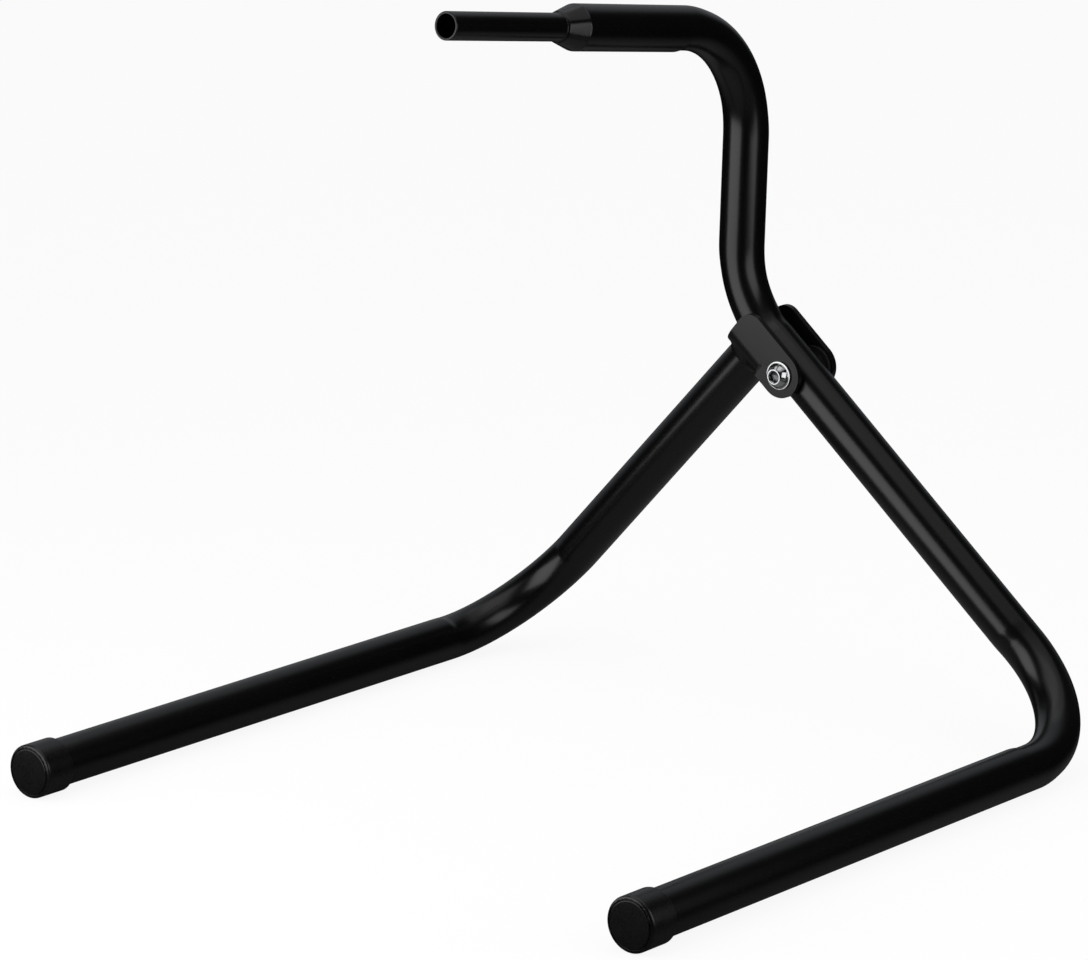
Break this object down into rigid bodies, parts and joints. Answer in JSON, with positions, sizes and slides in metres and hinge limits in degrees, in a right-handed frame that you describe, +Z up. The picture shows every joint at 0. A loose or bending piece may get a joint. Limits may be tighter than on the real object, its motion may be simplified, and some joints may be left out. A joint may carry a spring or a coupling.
{
  "type": "folding bottom bracket bike stand",
  "caption": "Folding display stand of bent black steel tube: two feet joined by a hinge, and an arm whose pin enters a bicycle's hollow crank spindle.",
  "frame": {"origin": "middle of the footprint, on the floor that the stand stands on", "axes": "+Z up; the feet and the arm point to -Y; the two feet stand apart along X, the main tube's foot at +X and the folding leg's at -X"},
  "size_m": [0.378, 0.3778, 0.364],
  "materials": {
    "powder_coat": "gloss black powder coat",
    "cap_plastic": "satin black moulded plastic",
    "washer_plastic": "matt black nylon",
    "chrome": "bright plating",
    "plain_steel": "plain turned steel"
  },
  "bodies": {
    "main_frame": {"main_tube": "powder_coat", "spindle_pin": "powder_coat", "pin_weld": "powder_coat", "pivot_sleeve": "plain_steel", "main_foot_cap": "cap_plastic"},
    "folding_leg": {"leg_tube": "powder_coat", "hinge_bracket": "powder_coat", "leg_weld": "powder_coat", "leg_foot_cap": "cap_plastic", "front_friction_washer": "washer_plastic", "rear_friction_washer": "washer_plastic", "pivot_bolt": "chrome", "barrel_nut": "chrome"}
  },
  "joints": [
    {"name": "leg_fold", "type": "hinge", "parent": "main_frame", "child": "folding_leg", "pos_m": [-0.00197, 0.16922, 0.16312], "axis": [0, -1, 0.0058], "range_deg": [0, 90]}
  ]
}
